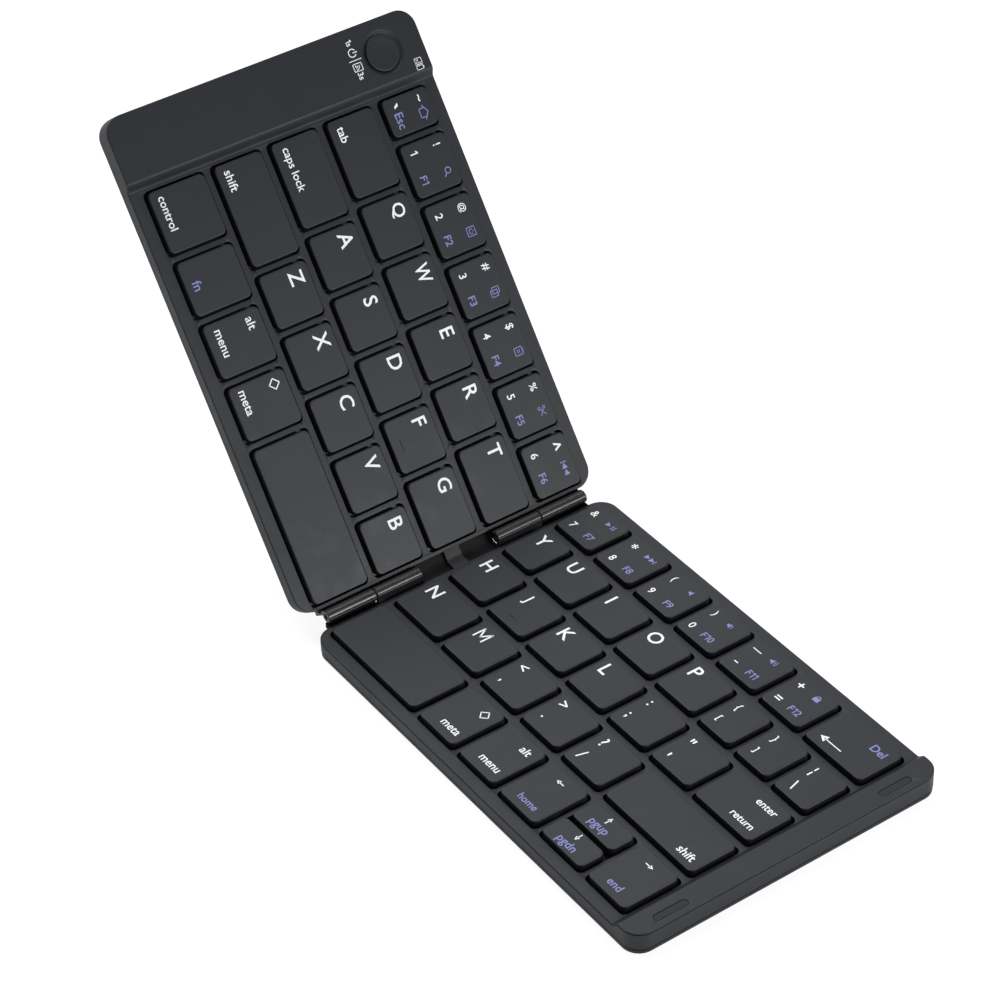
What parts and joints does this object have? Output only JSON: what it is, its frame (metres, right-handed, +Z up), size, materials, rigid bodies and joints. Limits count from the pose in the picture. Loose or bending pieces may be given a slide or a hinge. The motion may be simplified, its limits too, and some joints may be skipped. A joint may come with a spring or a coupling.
{
  "type": "folding keyboard",
  "caption": "Pocket folding keyboard: two slim halves of island keys with raised end blocks, joined by a knuckle hinge and a flexible strap, one half raised.",
  "frame": {"origin": "bottom centre of the whole object's box at rest: on the table under the feet of the flat half", "axes": "+X along the flat half, away from the hinge; +Y from the front row of keys to the number row, along the hinge axis; +Z up"},
  "size_m": [0.2234, 0.0926, 0.1163],
  "materials": {
    "case": "fine matt, slate black",
    "keycap": "matt with printed legends",
    "steel": "plain steel",
    "membrane": "black film with rubber domes",
    "links": "smooth, black",
    "rubber": "matt black rubber",
    "strap": "soft matt sleeve",
    "magnet": "nickel plated",
    "hinge": "half gloss black",
    "battery": "wrapped pouch cell",
    "board": "solder mask",
    "socket": "plated shell",
    "lens": "smoked window with pictograms"
  },
  "bodies": {
    "right_half": {"right_bottom_cover": "case", "right_top_frame": "case", "right_support_plate": "steel", "right_key_membrane": "membrane", "right_scissor_links": "links", "right_screws": "steel", "right_feet": "rubber", "right_stop_pads": "rubber", "right_magnets": "magnet", "right_hinge_knuckles": "hinge", "hinge_pins": "steel", "hinge_flex_strap": "strap"},
    "left_half": {"left_bottom_cover": "case", "left_top_frame": "case", "left_support_plate": "steel", "left_key_membrane": "membrane", "left_scissor_links": "links", "left_screws": "steel", "left_feet": "rubber", "left_magnets": "magnet", "left_hinge_knuckles": "hinge", "battery": "battery", "main_board": "board", "charging_socket": "socket", "indicator_lens": "lens"},
    "power_button": {"power_button": "keycap"},
    "key_q": {"key_q": "keycap"},
    "key_w": {"key_w": "keycap"},
    "key_e": {"key_e": "keycap"},
    "key_r": {"key_r": "keycap"},
    "key_t": {"key_t": "keycap"},
    "key_a": {"key_a": "keycap"},
    "key_s": {"key_s": "keycap"},
    "key_d": {"key_d": "keycap"},
    "key_f": {"key_f": "keycap"},
    "key_g": {"key_g": "keycap"},
    "key_z": {"key_z": "keycap"},
    "key_x": {"key_x": "keycap"},
    "key_c": {"key_c": "keycap"},
    "key_v": {"key_v": "keycap"},
    "key_b": {"key_b": "keycap"},
    "left_space_bar": {"left_space_bar": "keycap"},
    "left_number_keys": {"left_number_keys": "keycap"},
    "left_side_keys": {"left_side_keys": "keycap"},
    "key_y": {"key_y": "keycap"},
    "key_u": {"key_u": "keycap"},
    "key_i": {"key_i": "keycap"},
    "key_o": {"key_o": "keycap"},
    "key_p": {"key_p": "keycap"},
    "key_h": {"key_h": "keycap"},
    "key_j": {"key_j": "keycap"},
    "key_k": {"key_k": "keycap"},
    "key_l": {"key_l": "keycap"},
    "key_n": {"key_n": "keycap"},
    "key_m": {"key_m": "keycap"},
    "right_space_bar": {"right_space_bar": "keycap"},
    "right_number_keys": {"right_number_keys": "keycap"},
    "right_punctuation_keys": {"right_punctuation_keys": "keycap"},
    "right_side_keys": {"right_side_keys": "keycap"},
    "right_arrow_keys": {"right_arrow_keys": "keycap"}
  },
  "joints": [
    {"name": "fold", "type": "hinge", "parent": "right_half", "child": "left_half", "pos_m": [-0.02501, 0, 0.00695], "axis": [0, 1, 0], "range_deg": [-53.2, 126.8], "deforming": ["hinge_flex_strap"]},
    {"name": "button_press", "type": "slide", "parent": "left_half", "child": "power_button", "axis": [-0.8007, 0, -0.599], "range_m": [0, 0.0003], "stiffness_N_per_m": 1500},
    {"name": "key_q_press", "type": "slide", "parent": "left_half", "child": "key_q", "axis": [-0.8007, 0, -0.599], "range_m": [0, 0.0013], "stiffness_N_per_m": 400, "deforming": ["left_key_membrane", "left_scissor_links"]},
    {"name": "key_w_press", "type": "slide", "parent": "left_half", "child": "key_w", "axis": [-0.8007, 0, -0.599], "range_m": [0, 0.0013], "stiffness_N_per_m": 400, "deforming": ["left_key_membrane", "left_scissor_links"]},
    {"name": "key_e_press", "type": "slide", "parent": "left_half", "child": "key_e", "axis": [-0.8007, 0, -0.599], "range_m": [0, 0.0013], "stiffness_N_per_m": 400, "deforming": ["left_key_membrane", "left_scissor_links"]},
    {"name": "key_r_press", "type": "slide", "parent": "left_half", "child": "key_r", "axis": [-0.8007, 0, -0.599], "range_m": [0, 0.0013], "stiffness_N_per_m": 400, "deforming": ["left_key_membrane", "left_scissor_links"]},
    {"name": "key_t_press", "type": "slide", "parent": "left_half", "child": "key_t", "axis": [-0.8007, 0, -0.599], "range_m": [0, 0.0013], "stiffness_N_per_m": 400, "deforming": ["left_key_membrane", "left_scissor_links"]},
    {"name": "key_a_press", "type": "slide", "parent": "left_half", "child": "key_a", "axis": [-0.8007, 0, -0.599], "range_m": [0, 0.0013], "stiffness_N_per_m": 400, "deforming": ["left_key_membrane", "left_scissor_links"]},
    {"name": "key_s_press", "type": "slide", "parent": "left_half", "child": "key_s", "axis": [-0.8007, 0, -0.599], "range_m": [0, 0.0013], "stiffness_N_per_m": 400, "deforming": ["left_key_membrane", "left_scissor_links"]},
    {"name": "key_d_press", "type": "slide", "parent": "left_half", "child": "key_d", "axis": [-0.8007, 0, -0.599], "range_m": [0, 0.0013], "stiffness_N_per_m": 400, "deforming": ["left_key_membrane", "left_scissor_links"]},
    {"name": "key_f_press", "type": "slide", "parent": "left_half", "child": "key_f", "axis": [-0.8007, 0, -0.599], "range_m": [0, 0.0013], "stiffness_N_per_m": 400, "deforming": ["left_key_membrane", "left_scissor_links"]},
    {"name": "key_g_press", "type": "slide", "parent": "left_half", "child": "key_g", "axis": [-0.8007, 0, -0.599], "range_m": [0, 0.0013], "stiffness_N_per_m": 400, "deforming": ["left_key_membrane", "left_scissor_links"]},
    {"name": "key_z_press", "type": "slide", "parent": "left_half", "child": "key_z", "axis": [-0.8007, 0, -0.599], "range_m": [0, 0.0013], "stiffness_N_per_m": 400, "deforming": ["left_key_membrane", "left_scissor_links"]},
    {"name": "key_x_press", "type": "slide", "parent": "left_half", "child": "key_x", "axis": [-0.8007, 0, -0.599], "range_m": [0, 0.0013], "stiffness_N_per_m": 400, "deforming": ["left_key_membrane", "left_scissor_links"]},
    {"name": "key_c_press", "type": "slide", "parent": "left_half", "child": "key_c", "axis": [-0.8007, 0, -0.599], "range_m": [0, 0.0013], "stiffness_N_per_m": 400, "deforming": ["left_key_membrane", "left_scissor_links"]},
    {"name": "key_v_press", "type": "slide", "parent": "left_half", "child": "key_v", "axis": [-0.8007, 0, -0.599], "range_m": [0, 0.0013], "stiffness_N_per_m": 400, "deforming": ["left_key_membrane", "left_scissor_links"]},
    {"name": "key_b_press", "type": "slide", "parent": "left_half", "child": "key_b", "axis": [-0.8007, 0, -0.599], "range_m": [0, 0.0013], "stiffness_N_per_m": 400, "deforming": ["left_key_membrane", "left_scissor_links"]},
    {"name": "left_space_bar_press", "type": "slide", "parent": "left_half", "child": "left_space_bar", "axis": [-0.8007, 0, -0.599], "range_m": [0, 0.0013], "stiffness_N_per_m": 400, "deforming": ["left_key_membrane", "left_scissor_links"]},
    {"name": "left_number_keys_press", "type": "slide", "parent": "left_half", "child": "left_number_keys", "axis": [-0.8007, 0, -0.599], "range_m": [0, 0.0013], "stiffness_N_per_m": 400, "deforming": ["left_key_membrane", "left_scissor_links"]},
    {"name": "left_side_keys_press", "type": "slide", "parent": "left_half", "child": "left_side_keys", "axis": [-0.8007, 0, -0.599], "range_m": [0, 0.0013], "stiffness_N_per_m": 400, "deforming": ["left_key_membrane", "left_scissor_links"]},
    {"name": "key_y_press", "type": "slide", "parent": "right_half", "child": "key_y", "axis": [0, 0, -1], "range_m": [0, 0.0013], "stiffness_N_per_m": 400, "deforming": ["right_key_membrane", "right_scissor_links"]},
    {"name": "key_u_press", "type": "slide", "parent": "right_half", "child": "key_u", "axis": [0, 0, -1], "range_m": [0, 0.0013], "stiffness_N_per_m": 400, "deforming": ["right_key_membrane", "right_scissor_links"]},
    {"name": "key_i_press", "type": "slide", "parent": "right_half", "child": "key_i", "axis": [0, 0, -1], "range_m": [0, 0.0013], "stiffness_N_per_m": 400, "deforming": ["right_key_membrane", "right_scissor_links"]},
    {"name": "key_o_press", "type": "slide", "parent": "right_half", "child": "key_o", "axis": [0, 0, -1], "range_m": [0, 0.0013], "stiffness_N_per_m": 400, "deforming": ["right_key_membrane", "right_scissor_links"]},
    {"name": "key_p_press", "type": "slide", "parent": "right_half", "child": "key_p", "axis": [0, 0, -1], "range_m": [0, 0.0013], "stiffness_N_per_m": 400, "deforming": ["right_key_membrane", "right_scissor_links"]},
    {"name": "key_h_press", "type": "slide", "parent": "right_half", "child": "key_h", "axis": [0, 0, -1], "range_m": [0, 0.0013], "stiffness_N_per_m": 400, "deforming": ["right_key_membrane", "right_scissor_links"]},
    {"name": "key_j_press", "type": "slide", "parent": "right_half", "child": "key_j", "axis": [0, 0, -1], "range_m": [0, 0.0013], "stiffness_N_per_m": 400, "deforming": ["right_key_membrane", "right_scissor_links"]},
    {"name": "key_k_press", "type": "slide", "parent": "right_half", "child": "key_k", "axis": [0, 0, -1], "range_m": [0, 0.0013], "stiffness_N_per_m": 400, "deforming": ["right_key_membrane", "right_scissor_links"]},
    {"name": "key_l_press", "type": "slide", "parent": "right_half", "child": "key_l", "axis": [0, 0, -1], "range_m": [0, 0.0013], "stiffness_N_per_m": 400, "deforming": ["right_key_membrane", "right_scissor_links"]},
    {"name": "key_n_press", "type": "slide", "parent": "right_half", "child": "key_n", "axis": [0, 0, -1], "range_m": [0, 0.0013], "stiffness_N_per_m": 400, "deforming": ["right_key_membrane", "right_scissor_links"]},
    {"name": "key_m_press", "type": "slide", "parent": "right_half", "child": "key_m", "axis": [0, 0, -1], "range_m": [0, 0.0013], "stiffness_N_per_m": 400, "deforming": ["right_key_membrane", "right_scissor_links"]},
    {"name": "right_space_bar_press", "type": "slide", "parent": "right_half", "child": "right_space_bar", "axis": [0, 0, -1], "range_m": [0, 0.0013], "stiffness_N_per_m": 400, "deforming": ["right_key_membrane", "right_scissor_links"]},
    {"name": "right_number_keys_press", "type": "slide", "parent": "right_half", "child": "right_number_keys", "axis": [0, 0, -1], "range_m": [0, 0.0013], "stiffness_N_per_m": 400, "deforming": ["right_key_membrane", "right_scissor_links"]},
    {"name": "right_punctuation_keys_press", "type": "slide", "parent": "right_half", "child": "right_punctuation_keys", "axis": [0, 0, -1], "range_m": [0, 0.0013], "stiffness_N_per_m": 400, "deforming": ["right_key_membrane", "right_scissor_links"]},
    {"name": "right_side_keys_press", "type": "slide", "parent": "right_half", "child": "right_side_keys", "axis": [0, 0, -1], "range_m": [0, 0.0013], "stiffness_N_per_m": 400, "deforming": ["right_key_membrane", "right_scissor_links"]},
    {"name": "right_arrow_keys_press", "type": "slide", "parent": "right_half", "child": "right_arrow_keys", "axis": [0, 0, -1], "range_m": [0, 0.0013], "stiffness_N_per_m": 400, "deforming": ["right_key_membrane", "right_scissor_links"]}
  ]
}
